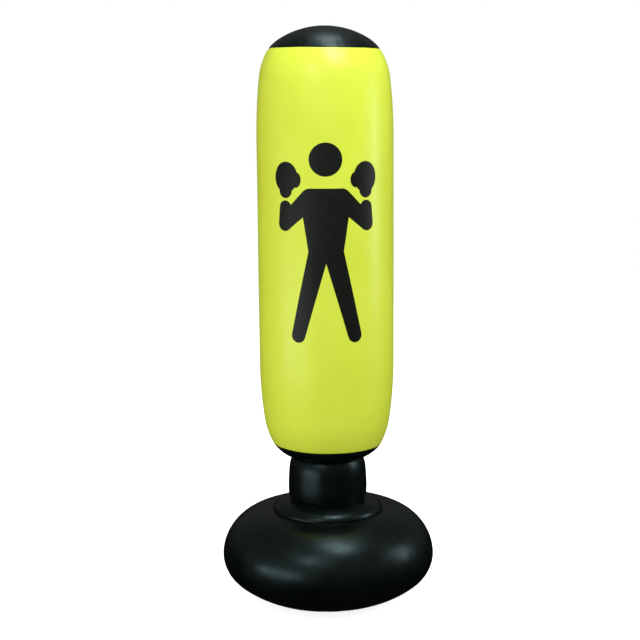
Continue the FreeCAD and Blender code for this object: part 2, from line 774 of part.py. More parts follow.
def air_valve_stem():
    """The push-in tube of the air valve, with a rim and a lug for the plug's strap."""
    inner_end = "0 - Sizes.stem_depth"
    owner = turned(
        "air_valve_stem",
        (
            ("Sizes.stem_bore_radius", inner_end),
            ("Sizes.stem_radius", inner_end),
            ("Sizes.stem_radius", "Sizes.stem_rim_base"),
            ("Sizes.stem_rim_radius", "Sizes.stem_rim_base"),
            ("Sizes.stem_rim_radius", "Sizes.stem_rim_top"),
            ("Sizes.stem_bore_radius", "Sizes.stem_rim_top"),
        ),
        place_air_part,
    )
    lug = sketch_on(owner, "XY_Plane", "stem_lug_outline")
    lug.AttachmentOffset = FreeCAD.Placement(
        Vector(0, 0, size("stem_rim_base")), FreeCAD.Rotation()
    )
    lug.setExpression("AttachmentOffset.Base.z", "Sizes.stem_rim_base")
    half = size("strap_width") / 2
    near = size("stem_bore_radius") + half / 2
    far = size("plug_hinge_offset") + 1
    points = ((-half, near), (half, near), (half, far), (-half, far))
    for index in range(4):
        start, end = points[index], points[(index + 1) % 4]
        lug.addGeometry(Part.LineSegment(Vector(*start, 0), Vector(*end, 0)), False)
    for index in range(4):
        lug.addConstraint(Sketcher.Constraint("Coincident", index, 2, (index + 1) % 4, 1))
    lug.addConstraint(Sketcher.Constraint("Horizontal", 2))
    for index in (1, 3):
        lug.addConstraint(Sketcher.Constraint("Vertical", index))
    lug.addConstraint(Sketcher.Constraint("Symmetric", 0, 1, 0, 2, -2))
    drive(lug, Sketcher.Constraint("DistanceX", 0, 1, 0, 2, 2 * half), "Sizes.strap_width")
    drive(
        lug,
        Sketcher.Constraint("DistanceY", -1, 1, 0, 1, near),
        "Sizes.stem_bore_radius + Sizes.strap_width / 4",
    )
    drive(
        lug, Sketcher.Constraint("DistanceY", -1, 1, 1, 2, far), "Sizes.plug_hinge_offset + 1"
    )
    pad = owner.newObject("PartDesign::Pad", "stem_lug")
    pad.Profile = lug
    pad.setExpression("Length", "Sizes.stem_rim_top - Sizes.stem_rim_base")
    doc.recompute()
    owner.Tip = pad


def air_valve_check_flap():
    """The soft disc that closes the stem's inner end."""
    top = "0 - Sizes.stem_depth"
    low = top + " - Sizes.flap_thickness"
    turned(
        "air_valve_check_flap",
        (("0", low), ("Sizes.flap_radius", low), ("Sizes.flap_radius", top), ("0", top)),
        place_air_part,
    )


def air_valve_plug():
    """The stopper: a round head with a tapered nose in the stem's bore."""
    seat = "Sizes.stem_rim_top + Sizes.plug_gap"
    tip = seat + " - Sizes.plug_depth"
    top = seat + " + Sizes.plug_head_thickness"
    turned(
        "air_valve_plug",
        (
            ("0", tip),
            ("Sizes.plug_tip_radius", tip),
            ("Sizes.plug_mouth_radius", seat),
            ("Sizes.plug_head_radius", seat),
            ("Sizes.plug_head_radius", top),
            ("0", top),
        ),
        place_air_part,
    )


def air_valve_strap():
    """The plug's short strap, ending in the round of its living hinge."""
    owner = body("air_valve_strap")
    pivot = (size("plug_hinge_offset"), size("plug_hinge_height"))
    radius = size("plug_barrel_radius")
    near = size("plug_head_radius") - size("strap_overlap")
    low, high = pivot[1] - radius, pivot[1] + radius
    drawn = Outline(owner, "strap_outline", "YZ_Plane")
    under = drawn.line((near, low), (pivot[0], low), smooth=True)
    barrel = drawn.arc(pivot, (pivot[0], low), (pivot[0], high), smooth=True)
    over = drawn.line((pivot[0], high), (near, high))
    end = drawn.line((near, high), (near, low))
    drawn.close()
    drawn.level(under)
    drawn.level(over)
    drawn.upright(end)
    drawn.radius(barrel, radius, "Sizes.plug_barrel_radius")
    drawn.across(barrel, drawn.CENTRE, pivot[0], "Sizes.plug_hinge_offset")
    drawn.up(barrel, drawn.CENTRE, pivot[1], "Sizes.plug_hinge_height")
    drawn.across(under, drawn.START, near, "Sizes.plug_head_radius - Sizes.strap_overlap")
    pad = owner.newObject("PartDesign::Pad", "strap_pad")
    pad.Profile = drawn.sketch
    pad.setExpression("Length", "Sizes.strap_width")
    pad.SideType = "Symmetric"
    doc.recompute()
    round_hole(owner, "strap_end", "plug_head_radius", None, "2 * Sizes.plug_hinge_height")
    place_air_part(owner)


def filler_neck():
    """The rigid neck of the water filler, with a stop collar and rounded ridges for its thread."""
    low = "0 - Sizes.filler_neck_depth"
    corners = [
        ("Sizes.filler_bore_radius", low),
        ("Sizes.filler_neck_radius", low),
        ("Sizes.filler_neck_radius", "Sizes.filler_shoulder_base"),
        ("Sizes.filler_shoulder_radius", "Sizes.filler_shoulder_base"),
        ("Sizes.filler_shoulder_radius", "Sizes.filler_shoulder_top"),
        ("Sizes.filler_neck_radius", "Sizes.filler_shoulder_top"),
    ]
    for turn in range(3):
        start = "Sizes.filler_thread_first" + turn * " + Sizes.filler_thread_pitch"
        end = start + " + Sizes.filler_thread_width"
        corners += [
            ("Sizes.filler_neck_radius", start),
            ("Sizes.filler_thread_radius", start),
            ("Sizes.filler_thread_radius", end),
            ("Sizes.filler_neck_radius", end),
        ]
    corners += [
        ("Sizes.filler_neck_radius", "Sizes.filler_neck_height"),
        ("Sizes.filler_bore_radius", "Sizes.filler_neck_height"),
    ]
    turned("filler_neck", corners, place_filler_part)


def filler_cap():
    """The screw cap: a ribbed skirt, a flat top and a knob that holds the tether's ring."""
    owner = turned(
        "filler_cap",
        (
            ("Sizes.cap_bore_radius", "Sizes.cap_bottom"),
            ("Sizes.cap_radius", "Sizes.cap_bottom"),
            ("Sizes.cap_radius", "Sizes.cap_top"),
            ("Sizes.knob_radius", "Sizes.cap_top"),
            ("Sizes.knob_radius", "Sizes.knob_head_base"),
            ("Sizes.knob_head_radius", "Sizes.knob_head_base"),
            ("Sizes.knob_head_radius", "Sizes.knob_head_top"),
            ("0", "Sizes.knob_head_top"),
            ("0", "Sizes.cap_roof"),
            ("Sizes.cap_bore_radius", "Sizes.cap_roof"),
        ),
        place_filler_part,
    )
    grip = sketch_on(owner, "XY_Plane", "cap_grip_outline")
    grip.addGeometry(
        Part.Circle(Vector(size("cap_radius"), 0, 0), Vector(0, 0, 1), size("cap_grip_radius")),
        False,
    )
    grip.addConstraint(Sketcher.Constraint("PointOnObject", 0, 3, -1))
    drive(
        grip,
        Sketcher.Constraint("DistanceX", -1, 1, 0, 3, size("cap_radius")),
        "Sizes.cap_radius + Sizes.cap_grip_radius / 2",
    )
    drive(
        grip, Sketcher.Constraint("Radius", 0, size("cap_grip_radius")), "Sizes.cap_grip_radius"
    )
    groove = owner.newObject("PartDesign::Pocket", "cap_grip_groove")
    groove.Profile = grip
    groove.Reversed = True
    groove.setExpression("Length", "Sizes.cap_top - Sizes.cap_grip_margin")
    doc.recompute()
    ring = owner.newObject("PartDesign::PolarPattern", "cap_grip_grooves")
    ring.Originals = [groove]
    ring.Axis = (grip, ["N_Axis"])
    ring.Angle = 360
    ring.setExpression("Occurrences", "Sizes.cap_grip_count")
    doc.recompute()
    owner.Tip = ring


def filler_gasket():
    """The soft washer pressed between the cap and the neck's end."""
    turned(
        "filler_gasket",
        (
            ("Sizes.gasket_inner_radius", "Sizes.gasket_base"),
            ("Sizes.gasket_outer_radius", "Sizes.gasket_base"),
            ("Sizes.gasket_outer_radius", "Sizes.cap_roof"),
            ("Sizes.gasket_inner_radius", "Sizes.cap_roof"),
        ),
        place_filler_part,
    )


def filler_tether_ring():
    """The loose ring round the cap's knob."""
    turned(
        "filler_tether_ring",
        (
            ("Sizes.ring_inner_radius", "Sizes.ring_base"),
            ("Sizes.ring_outer_radius", "Sizes.ring_base"),
            ("Sizes.ring_outer_radius", "Sizes.ring_top"),
            ("Sizes.ring_inner_radius", "Sizes.ring_top"),
        ),
        place_filler_part,
    )


def filler_tether_strap():
    """The strap from the ring over the cap's edge and down to its button on the flange."""
    owner = body("filler_tether_strap")
    thick = size("tether_thickness")
    start = size("ring_outer_radius") - size("strap_overlap")
    drop = size("tether_drop")
    low, foot = size("tether_base"), size("tether_foot_base")
    bend = size("tether_bend_radius")
    high = low + thick
    turn = drop + thick - bend
    drawn = Outline(owner, "tether_outline")
    # up the outside first, then back along the inside
    heel = drawn.line((drop, foot), (size("tether_foot_end"), foot))
    toe = drawn.line((size("tether_foot_end"), foot), (size("tether_foot_end"), foot + thick))
    foot_top = drawn.line((size("tether_foot_end"), foot + thick), (drop + thick, foot + thick))
    outside = drawn.line((drop + thick, foot + thick), (drop + thick, high - bend), smooth=True)
    outer_bend = drawn.arc(
        (turn, high - bend), (drop + thick, high - bend), (turn, high), smooth=True
    )
    top = drawn.line((turn, high), (start, high))
    near_end = drawn.line((start, high), (start, low))
    under = drawn.line((start, low), (drop, low))
    inside = drawn.line((drop, low), (drop, foot))
    drawn.close()
    for piece in (heel, foot_top, top, under):
        drawn.level(piece)
    for piece in (toe, outside, near_end, inside):
        drawn.upright(piece)
    drawn.across(
        near_end, drawn.START, start, "Sizes.ring_outer_radius - Sizes.strap_overlap"
    )
    drawn.up(near_end, drawn.END, low, "Sizes.tether_base")
    drawn.up(near_end, drawn.START, high, "Sizes.tether_base + Sizes.tether_thickness")
    drawn.across(inside, drawn.START, drop, "Sizes.tether_drop")
    drawn.across(outside, drawn.START, drop + thick, "Sizes.tether_drop + Sizes.tether_thickness")
    drawn.up(heel, drawn.START, foot, "Sizes.tether_foot_base")
    drawn.up(toe, drawn.END, foot + thick, "Sizes.tether_foot_base + Sizes.tether_thickness")
    drawn.across(toe, drawn.START, size("tether_foot_end"), "Sizes.tether_foot_end")
    drawn.radius(outer_bend, bend, "Sizes.tether_bend_radius")
    pad = owner.newObject("PartDesign::Pad", "tether_pad")
    pad.Profile = drawn.sketch
    pad.setExpression("Length", "Sizes.strap_width")
    pad.SideType = "Symmetric"
    doc.recompute()
    reach = "Sizes.tether_base + 2 * Sizes.tether_thickness"
    round_hole(owner, "tether_end", "ring_outer_radius", None, reach)
    depth = "Sizes.tether_foot_base + 2 * Sizes.tether_thickness"
    round_hole(owner, "tether_hole", "anchor_hole_radius", "anchor_offset", depth)
    place_filler_part(owner)


def filler_anchor_button():
    """The button on the flange that the strap's hole is snapped over."""
    pin = filler_cylinder(
        "anchor_pin",
        "Sizes.anchor_pin_radius",
        "Sizes.anchor_pin_sink + Sizes.anchor_head_base",
        "-1 * Sizes.anchor_pin_sink",
    )
    head = filler_cylinder(
        "anchor_head",
        "Sizes.anchor_head_radius",
        "Sizes.anchor_head_thickness",
        "Sizes.anchor_head_base",
    )
    for item in (pin, head):
        item.setExpression("Placement.Base.x", "Sizes.anchor_offset")
    whole = boolean("Fuse", "anchor_whole", pin, head)
    flange = ring_surface("anchor_seat", " + Sizes.flange_thickness")
    label_last(boolean("Cut", "filler_anchor_button", whole, flange), "filler_anchor_button")


def check_and_write():
    """Refuses a broken object, then writes one file for each piece."""
    doc.recompute()
    for item in doc.Objects:
        wrong = [state for state in item.State if state in ("Invalid", "Error")]
        if wrong:
            raise RuntimeError("%s is %s" % (item.Name, wrong))
    os.makedirs("parts", exist_ok=True)
    for item in exported:
        shape = item.Shape
        if shape.isNull() or not shape.isValid() or not shape.Solids:
            raise RuntimeError("%s has no sound solid" % item.Label)
        shape.exportStep("parts/%s.step" % item.Label)
        box = shape.BoundBox
        print(
            "%-22s %9.2f cm3  solids %d  x %.1f..%.1f  y %.1f..%.1f  z %.1f..%.1f"
            % (
                item.Label, shape.Volume / 1000, len(shape.Solids),
                box.XMin, box.XMax, box.YMin, box.YMax, box.ZMin, box.ZMax,
            )
        )


bag_sleeve()
bag_back_seam()
bag_top_panel()
ring_panel(
    "bag_bottom_panel",
    ("neck_top_radius", "neck_top_height"),
    ("bottom_seam_radius", "bottom_seam_height"),
    "bottom_bulge_radius",
)
ring_panel(
    "neck_sleeve",
    ("neck_foot_radius", "neck_foot_height"),
    ("neck_top_radius", "neck_top_height"),
    "neck_bulge_radius",
    raise_low=size("joint_gap"),
    drop_high=size("joint_gap"),
)
ring_panel(
    "collar_panel",
    ("crease_radius", "crease_height"),
    ("neck_foot_radius", "neck_foot_height"),
    "collar_bulge_radius",
)
seam_weld("bag_top_weld", "top_seam", "weld_inset", below=True)
seam_weld("bag_bottom_weld", "bottom_seam", "weld_inset", below=False)
seam_weld("neck_upper_weld", "neck_top", "neck_weld_inset", below=False)
seam_weld("neck_lower_weld", "neck_foot", "neck_weld_inset", below=True)
weld_ring(
    "base_rim_weld",
    "Sizes.base_radius - Sizes.weld_inset",
    "Sizes.base_middle_height - Sizes.weld_thickness",
)
weld_ring(
    "base_crease_weld",
    "Sizes.crease_radius",
    "Sizes.crease_height - Sizes.film_thickness - Sizes.weld_thickness",
)
base_top_panel()
base_floor_panel()
base_diaphragm()
ballast_water()
air_valve_flange()
air_valve_stem()
air_valve_check_flap()
air_valve_plug()
air_valve_strap()
filler_flange()
filler_neck()
filler_cap()
filler_gasket()
filler_tether_ring()
filler_tether_strap()
filler_anchor_button()
check_and_write()
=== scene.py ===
import json
import math

import bpy
from mathutils import Matrix, Vector, noise
from mathutils.bvhtree import BVHTree
from mathutils.geometry import delaunay_2d_cdt


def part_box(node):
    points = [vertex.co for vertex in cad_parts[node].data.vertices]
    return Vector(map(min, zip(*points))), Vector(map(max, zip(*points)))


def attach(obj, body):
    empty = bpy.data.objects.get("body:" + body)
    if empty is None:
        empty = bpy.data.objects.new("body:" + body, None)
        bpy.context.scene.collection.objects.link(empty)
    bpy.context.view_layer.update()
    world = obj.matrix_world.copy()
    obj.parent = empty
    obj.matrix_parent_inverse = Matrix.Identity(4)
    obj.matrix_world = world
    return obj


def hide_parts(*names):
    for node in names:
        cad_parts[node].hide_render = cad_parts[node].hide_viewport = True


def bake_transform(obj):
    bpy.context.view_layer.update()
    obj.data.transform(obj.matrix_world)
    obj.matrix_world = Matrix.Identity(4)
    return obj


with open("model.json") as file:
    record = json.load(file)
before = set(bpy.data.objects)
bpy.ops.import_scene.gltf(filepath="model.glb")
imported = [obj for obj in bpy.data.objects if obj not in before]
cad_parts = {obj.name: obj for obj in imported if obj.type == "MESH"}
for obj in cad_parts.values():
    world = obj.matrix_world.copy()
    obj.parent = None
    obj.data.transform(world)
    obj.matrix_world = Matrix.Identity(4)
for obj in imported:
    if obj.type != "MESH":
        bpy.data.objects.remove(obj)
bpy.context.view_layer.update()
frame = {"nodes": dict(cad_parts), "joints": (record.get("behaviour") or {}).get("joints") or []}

nodes = frame["nodes"]
scene = bpy.context.scene
MM = 0.001


# ---------------------------------------------------------------- sizes, most read from the frame

def reach(node):
    """The largest distance of a round node from the bag's axis, across the front."""
    low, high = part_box(node)
    return (high[0] - low[0]) / 2


def low_of(node):
    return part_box(node)[0][2]


def high_of(node):
    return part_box(node)[1][2]


NECK_WELD_INSET = 6 * MM
BAG_RADIUS = reach("bag_sleeve")
TOP_SEAM = (reach("bag_top_panel"), high_of("bag_sleeve"))
BAG_TOP = high_of("bag_top_panel")
LOW_SEAM = (reach("bag_bottom_panel"), low_of("bag_sleeve"))
NECK_TOP = (reach("neck_upper_weld") + NECK_WELD_INSET + 1.5 * MM, low_of("bag_bottom_panel") - 3 * MM)
NECK_FOOT = (reach("neck_lower_weld") + NECK_WELD_INSET, high_of("collar_panel"))
CREASE = (reach("base_crease_weld") + 8 * MM, low_of("collar_panel") + 6 * MM)
BASE_SIDE = (reach("base_top_panel"), low_of("base_top_panel"))
BASE_TOP = (167 * MM, high_of("base_top_panel") - 6 * MM)
FOOT_RADIUS = 95 * MM

# the arcs of the film's section, as in the CAD
UPPER_WALL_END, UPPER_SWEEP, UPPER_TURN = 1.293, 1.537, 0.183
LOWER_WALL_END, LOWER_SWEEP, LOWER_TURN = 0.682, 1.180, 0.220
LID_CROWN, LID_EDGE = 0.230, 0.120
UNDERSIDE_BULGE = 0.094
NECK_SWELL = 8.5 * MM
BASE_UPPER_SIDE, BASE_LOWER_SIDE = 0.088, 0.089

TURNS = 256  # points round each lathed film
SIM_TURNS = 96  # points round each film while it is blown up as cloth
SIM_FRAMES = 20
SURPLUS = 0.0022  # how much larger the film is cut than its shape, so that it can billow
BILLOW_LIMIT = 0.8 * MM
SEAM_RANGE = 160 * MM  # a seam changes nothing further away than this


# ---------------------------------------------------------------- outlines in (radius, height)

def inner_tangent(big_centre, big_radius, small_radius, point, lower):
    """The centre of a small circle that touches a big one from inside and passes through a point."""
    across, rise = point[0] - big_centre[0], point[1] - big_centre[1]
    away = math.hypot(across, rise)
    gap = big_radius - small_radius
    along = (gap * gap - small_radius * small_radius + away * away) / (2 * away)
    aside = math.sqrt(max(gap * gap - along * along, 0.0)) * (-1.0 if lower else 1.0)
    ux, uy = across / away, rise / away
    return (big_centre[0] + ux * along - uy * aside, big_centre[1] + uy * along + ux * aside)


def touch_point(big_centre, small_centre, small_radius):
    """Where the small circle meets the big one."""
    dx, dy = small_centre[0] - big_centre[0], small_centre[1] - big_centre[1]
    length = math.hypot(dx, dy)
    return (small_centre[0] + dx / length * small_radius, small_centre[1] + dy / length * small_radius)


def arc(centre, start, end, step):
    """Points along an arc, from start up to but not including end, at most step apart."""
    first = math.atan2(start[1] - centre[1], start[0] - centre[0])
    last = math.atan2(end[1] - centre[1], end[0] - centre[0])
    radius = math.dist(centre, start)
    count = max(2, math.ceil(abs(last - first) * radius / step))
    angles = [first + (last - first) * k / count for k in range(count)]
    return [(centre[0] + radius * math.cos(a), centre[1] + radius * math.sin(a)) for a in angles]


def straight(start, end, step):
    """Points along a line, from start up to but not including end."""
    count = max(1, math.ceil(math.dist(start, end) / step))
    return [
        (start[0] + (end[0] - start[0]) * k / count, start[1] + (end[1] - start[1]) * k / count)
        for k in range(count)
    ]


def bulge(start, end, radius, step):
    """One arc of a given radius between two points, bowing outwards."""
    half = math.dist(start, end) / 2
    back = math.sqrt(radius * radius - half * half)
    rise, run = end[1] - start[1], end[0] - start[0]
    centre = (
        (start[0] + end[0]) / 2 - back * rise / (2 * half),
        (start[1] + end[1]) / 2 + back * run / (2 * half),
    )
    return arc(centre, start, end, step) + [end]


def shoulder(start, end, steps):
    """A quarter of an ellipse: upright where it starts, level where it ends."""
    turns = [math.pi / 2 * k / steps for k in range(steps + 1)]
    run, rise = start[0] - end[0], end[1] - start[1]
    return [(end[0] + run * math.cos(a), start[1] + rise * math.sin(a)) for a in turns]


def barrel(start, end, swell, step):
    """A nearly straight side that turns in quickly at both ends."""
    made = []
    for radius, height in straight(start, end, step) + [end]:
        off = (2 * height - start[1] - end[1]) / (end[1] - start[1])
        made.append((radius + swell * (1 - off**4), height))
    return made


def tube_outline():
    """The bag's coloured tube, from the lower seam to the upper one."""
    low_big = (BAG_RADIUS - LOWER_SWEEP, LOWER_WALL_END)
    high_big = (BAG_RADIUS - UPPER_SWEEP, UPPER_WALL_END)
    low_small = inner_tangent(low_big, LOWER_SWEEP, LOWER_TURN, LOW_SEAM, False)
    high_small = inner_tangent(high_big, UPPER_SWEEP, UPPER_TURN, TOP_SEAM, True)
    low_meet = touch_point(low_big, low_small, LOWER_TURN)
    high_meet = touch_point(high_big, high_small, UPPER_TURN)
    low_wall, high_wall = (BAG_RADIUS, LOWER_WALL_END), (BAG_RADIUS, UPPER_WALL_END)
    return (
        arc(low_small, LOW_SEAM, low_meet, 3 * MM)
        + arc(low_big, low_meet, low_wall, 8 * MM)
        + straight(low_wall, high_wall, 10 * MM)
        + arc(high_big, high_wall, high_meet, 8 * MM)
        + arc(high_small, high_meet, TOP_SEAM, 3 * MM)
        + [TOP_SEAM]
    )


def lid_outline():
    """The lid, from its seam to a small hole at the pole, which the lathe closes."""
    crown_centre = (0.0, BAG_TOP - LID_CROWN)
    edge_centre = inner_tangent(crown_centre, LID_CROWN, LID_EDGE, TOP_SEAM, False)
    meet = touch_point(crown_centre, edge_centre, LID_EDGE)
    pole = (0.0, BAG_TOP)
    return arc(edge_centre, TOP_SEAM, meet, 3 * MM) + arc(crown_centre, meet, pole, 5 * MM) + [pole]


def base_outlines():
    """The base's lower and upper films, from the foot's middle to the side and from there to the crease."""
    side_centre = (BASE_SIDE[0] - BASE_LOWER_SIDE, BASE_SIDE[1])
    spread = side_centre[0] - FOOT_RADIUS
    rise = side_centre[1]
    long_radius = (spread**2 + rise**2 - BASE_LOWER_SIDE**2) / (2 * (rise - BASE_LOWER_SIDE))
    long_centre = (FOOT_RADIUS, long_radius)
    meet = touch_point(long_centre, side_centre, BASE_LOWER_SIDE)
    foot = (FOOT_RADIUS, 0.0)
    lower = (
        straight((0.0, 0.0), foot, 12 * MM)
        + arc(long_centre, foot, meet, 6 * MM)
        + arc(side_centre, meet, BASE_SIDE, 4 * MM)
        + [BASE_SIDE]
    )
    upper_centre = (BASE_SIDE[0] - BASE_UPPER_SIDE, BASE_SIDE[1])
    run = upper_centre[0] - BASE_TOP[0]
    climb = BASE_TOP[1] - BASE_SIDE[1]
    crown = (run**2 + climb**2 - BASE_UPPER_SIDE**2) / (2 * (climb - BASE_UPPER_SIDE))
    crown_centre = (BASE_TOP[0], BASE_TOP[1] - crown)
    join = touch_point(crown_centre, upper_centre, BASE_UPPER_SIDE)
    drop, back = BASE_TOP[1] - CREASE[1], BASE_TOP[0] - CREASE[0]
    lip = (back**2 + drop**2) / (2 * drop)
    upper = (
        arc(upper_centre, BASE_SIDE, join, 4 * MM)
        + arc(crown_centre, join, BASE_TOP, 4 * MM)
        + arc((BASE_TOP[0], BASE_TOP[1] - lip), BASE_TOP, CREASE, 2 * MM)
        + [CREASE]
    )
    return lower, upper


# ---------------------------------------------------------------- the film's relief

def around(angle, detail, seed):
    """Smooth noise that closes on itself round the bag, with about 6 x detail swells."""
    return noise.noise(Vector((math.cos(angle) * detail, math.sin(angle) * detail, seed)))


class Seam:
    """A weld between two films: a fine groove, small puckers that die away, and a line not quite level."""

    def __init__(self, spot, seed, groove=0.9, pucker=0.7, reach=26, waves=9, wander=0.9, tilt=0.0):
        self.spot = spot
        self.seed = seed
        self.groove = groove * MM
        self.pucker = pucker * MM
        self.reach = reach * MM
        self.waves = waves
        self.wander = wander * MM
        self.tilt = tilt * MM

    def push(self, distance, angle):
        """How far the film stands out at a distance from the seam, along its own normal."""
        fade = math.exp(-distance / self.reach)
        fold = around(angle, self.waves, self.seed) + 0.5 * around(angle, 2.3 * self.waves, self.seed + 5)
        groove = self.groove * math.exp(-((distance / (1.8 * MM)) ** 2))
        return self.pucker * fold * fade * (1 - math.exp(-distance / (5 * MM))) - groove

    def lift(self, distance, angle):
        """How far the seam's line wanders up or down."""
        drift = around(angle, 1.6, self.seed + 9) + 0.6 * around(angle, 5.0, self.seed + 12)
        near = self.wander * drift * math.exp(-distance / (30 * MM))
        return near - self.tilt * math.sin(angle) * math.exp(-distance / (60 * MM))


UPPER_SEAM = Seam(TOP_SEAM, 1.0, tilt=1.8)
LOWER_SEAM = Seam(LOW_SEAM, 2.0, tilt=2.0)
NECK_SEAM = Seam(NECK_TOP, 3.0, groove=0.6, reach=18, waves=6, wander=0.5)
NECK_FOOT_SEAM = Seam(NECK_FOOT, 4.0, groove=-0.5, reach=16, waves=6, wander=0.4)
CREASE_SEAM = Seam(CREASE, 5.0, groove=0.1, pucker=0.9, reach=26, waves=8, wander=0.4)
SIDE_SEAM = Seam(BASE_SIDE, 6.0, groove=0.08, pucker=0.5, reach=40, waves=10, wander=1.0)


def normals(outline):
    """The outward normal at each point of an outline that runs anticlockwise round its film."""
    found = []
    for k in range(len(outline)):
        before, after = outline[max(k - 1, 0)], outline[min(k + 1, len(outline) - 1)]
        run, rise = after[0] - before[0], after[1] - before[1]
        length = math.hypot(run, rise)
        found.append((rise / length, -run / length))
    return found


def refine(outline, seams, near=14 * MM, step=0.7 * MM):
    """Adds points beside the seams, so that the groove is drawn cleanly.

    Gives each point with its place along the given outline, counted in that outline's points."""
    made = []
    for k, (start, end) in enumerate(zip(outline, outline[1:])):
        close = any(min(math.dist(start, s.spot), math.dist(end, s.spot)) < near for s in seams)
        points = straight(start, end, step) if close else [start]
        made += [(point, k + j / len(points)) for j, point in enumerate(points)]
    return made + [(outline[-1], len(outline) - 1.0)]


# ---------------------------------------------------------------- blowing the films up

def rings(outline, turns, shift):
    """The points and faces of an outline turned round the axis; a point on the axis closes it.

    shift gives, for a row and a step round, how far out and how far up that point is moved."""
    vertices, rows = [], []
    for row, (radius, height) in enumerate(outline):
        steps = turns if radius > 1e-6 else 1
        rows.append(range(len(vertices), len(vertices) + steps))
        for k in range(steps):
            angle = 2 * math.pi * k / turns
            out, up = shift(row, k) if steps > 1 else (0.0, 0.0)
            r = radius + out
            vertices.append((r * math.sin(angle), -r * math.cos(angle), height + up))
    faces = []
    for lower, upper in zip(rows, rows[1:]):
        for k in range(turns):
            after = (k + 1) % turns
            if len(lower) == 1:
                faces.append((lower[0], upper[after], upper[k]))
            elif len(upper) == 1:
                faces.append((lower[k], lower[after], upper[0]))
            else:
                faces.append((lower[k], lower[after], upper[after], upper[k]))
    return vertices, faces, rows


def turned(name, vertices, faces):
    mesh = bpy.data.meshes.new(name)
    mesh.from_pydata(vertices, [], faces)
    mesh.update()
    mesh.shade_smooth()
    made = bpy.data.objects.new(name, mesh)
    scene.collection.objects.link(made)
    return made


def billow(name, outline, seed, held_below=None):
    """Blows a film up as cloth, welded all round at its ends, and gives how far each point moved outwards."""
    def ripple(row, k):
        angle = 2 * math.pi * k / SIM_TURNS
        return 0.25 * MM * around(angle, 7.0, seed + row * 0.05), 0.0

    vertices, faces, rows = rings(outline, SIM_TURNS, ripple)
    made = turned(name + "_cloth", vertices, faces)
    held = [row for row, point in enumerate(outline) if held_below and point[1] < held_below]
    ends = [0, len(outline) - 1] if outline[-1][0] > 1e-6 else [0]
    group = made.vertex_groups.new(name="welded")
    group.add([v for row in {*held, *ends} for v in rows[row]], 1.0, "REPLACE")
    cloth = made.modifiers.new("cloth", "CLOTH")
    cloth.settings.vertex_group_mass = "welded"
    cloth.settings.quality = 4
    cloth.settings.tension_stiffness = 15
    cloth.settings.compression_stiffness = 15
    cloth.settings.bending_stiffness = 0.3
    cloth.settings.use_pressure = True
    cloth.settings.uniform_pressure_force = 4
    cloth.settings.shrink_min = -SURPLUS
    cloth.settings.effector_weights.gravity = 0
    cloth.point_cache.frame_end = SIM_FRAMES
    for number in range(1, SIM_FRAMES + 1):
        scene.frame_set(number)
    blown = made.evaluated_get(bpy.context.evaluated_depsgraph_get()).to_mesh()
    out = normals(outline)
    moves = []
    for row, ring in enumerate(rows):
        moved = []
        for k, v in enumerate(ring):
            angle = 2 * math.pi * k / SIM_TURNS
            moved_by = blown.vertices[v].co - Vector(vertices[v])
            aside = moved_by.x * math.sin(angle) - moved_by.y * math.cos(angle)
            along = aside * out[row][0] + moved_by.z * out[row][1]
            moved.append(max(0.0, min(BILLOW_LIMIT, along)))
        moves.append(moved if len(moved) > 1 else moved * SIM_TURNS)
    scene.frame_set(1)
    bpy.data.objects.remove(made)
    return moves


def between(values, place):
    """A smooth curve through a list of numbers, read between its items."""
    k = min(int(place), len(values) - 2)
    share = place - k
    a, b = values[max(k - 1, 0)], values[k]
    c, d = values[k + 1], values[min(k + 2, len(values) - 1)]
    bend = 2 * a - 5 * b + 4 * c - d + share * (3 * (b - c) + d - a)
    return b + 0.5 * share * (c - a + share * bend)


def centre_of(node):
    low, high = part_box(node)
    return (Vector(low) + Vector(high)) / 2


UNEVENNESS = 0.5 * MM  # the film's slow waviness away from its seams
FITTING_DIP = 0.4 * MM  # the film is pressed in a little under a welded fitting
BACK_SEAM_ANGLE = math.radians(155)  # round from the front, as in the CAD
STILL = ((centre_of("air_valve_flange"), 45 * MM), (centre_of("filler_flange"), 70 * MM))


def stillness(point, angle):
    """Nought beside the valves and the back weld, where the film keeps its shape, and one away from them."""
    calm = min(1.0, abs(angle - BACK_SEAM_ANGLE) * math.hypot(point.x, point.y) / (30 * MM))
    for spot, size in STILL:
        calm = min(calm, max(0.0, (point - spot).length / size - 0.5) * 2)
    calm = min(1.0, calm)
    return calm * calm * (3 - 2 * calm)


def lathe(name, outline, seams, seed, held_below=None, moves=None):
    """A film turned round the axis, with its billows, its seams' relief and a slight unevenness."""
    fine = refine(outline, seams)
    line = [point for point, _ in fine]
    out = normals(line)
    columns = list(zip(*moves)) if moves else []
    settled = []
    for _, place in fine if moves else []:
        ring = [between(column, place) for column in columns]
        closed = ring[-1:] + ring + ring[:2]
        settled.append([between(closed, 1 + k * SIM_TURNS / TURNS) for k in range(TURNS)])

    def relief(row, k):
        radius, height = line[row]
        angle = 2 * math.pi * k / TURNS
        push, lift = settled[row][k] if moves else 0.0, 0.0
        for seam in seams:
            distance = math.dist(line[row], seam.spot)
            if distance < SEAM_RANGE:
                push += seam.push(distance, angle)
                lift += seam.lift(distance, angle)
        spot = Vector((radius * math.cos(angle) * 5, radius * math.sin(angle) * 5, height * 4 + seed))
        push += UNEVENNESS * noise.noise(spot)
        calm = stillness(Vector((radius * math.sin(angle), -radius * math.cos(angle), height)), angle)
        push *= calm
        if held_below:
            push = max(push, 0.0) * min(1.0, height / held_below)
            lift *= min(1.0, height / held_below)
        push -= FITTING_DIP * (1 - calm)
        return out[row][0] * push, out[row][1] * push + lift

    vertices, faces, _ = rings(line, TURNS, relief)
    return turned(name, vertices, faces)


# ---------------------------------------------------------------- materials

